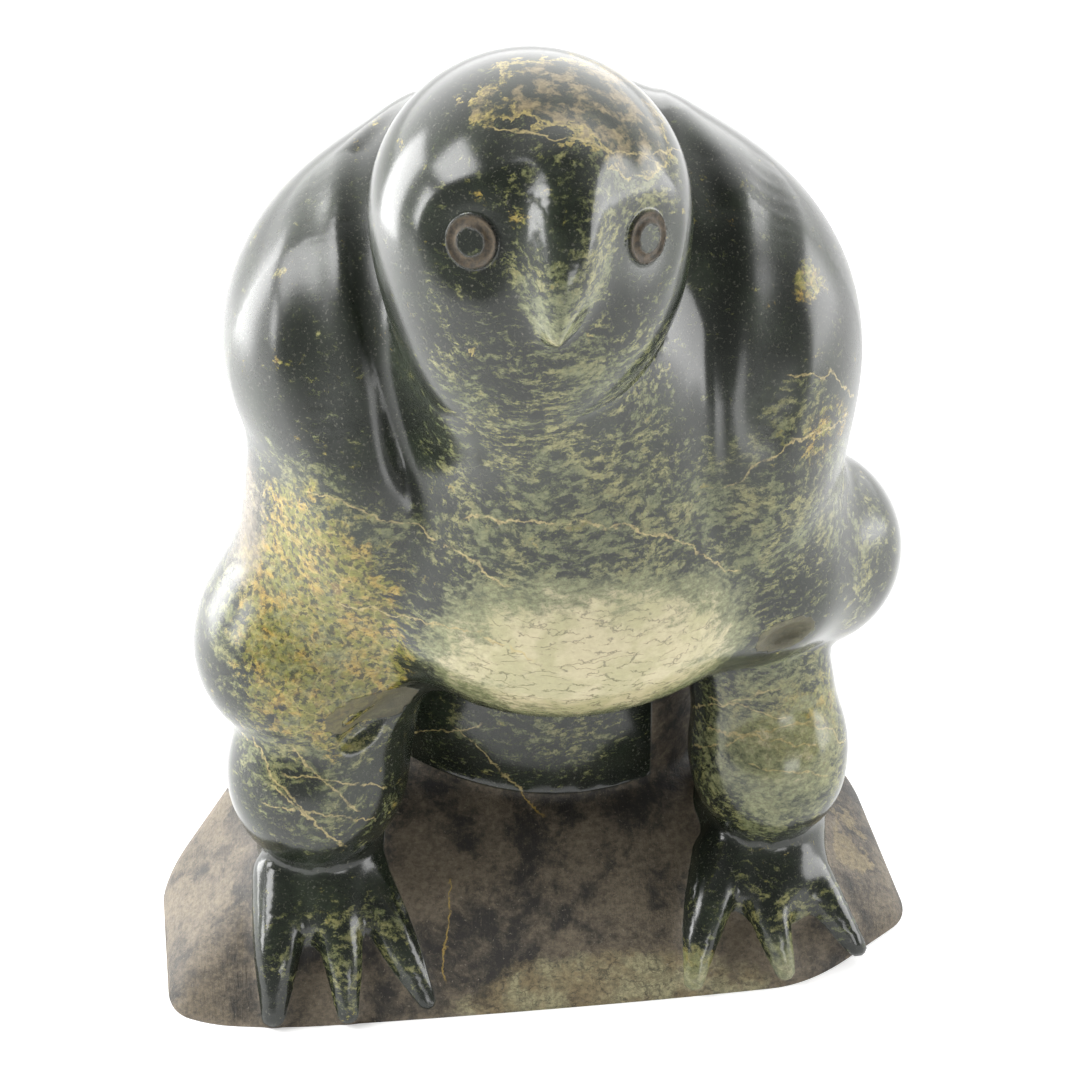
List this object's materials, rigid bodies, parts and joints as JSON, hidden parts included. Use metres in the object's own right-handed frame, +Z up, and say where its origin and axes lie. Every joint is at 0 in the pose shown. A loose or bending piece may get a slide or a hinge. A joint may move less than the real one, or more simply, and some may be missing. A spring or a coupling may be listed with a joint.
{
  "type": "soapstone bird carving",
  "caption": "Polished stone carving of a squat owl-like bird crouching on a rough block, bird and block cut from one stone.",
  "frame": {"origin": "on the flat underside of the block, under the middle of the carving", "axes": "+Z up, the bird looks towards -Y, +X is to the right of someone who looks at its face"},
  "size_m": [0.2884, 0.2057, 0.3792],
  "materials": {
    "polished_stone": "polished dark green stone with cream veins, matte cuts"
  },
  "bodies": {
    "root": {"bird_carving": "polished_stone"}
  },
  "joints": []
}
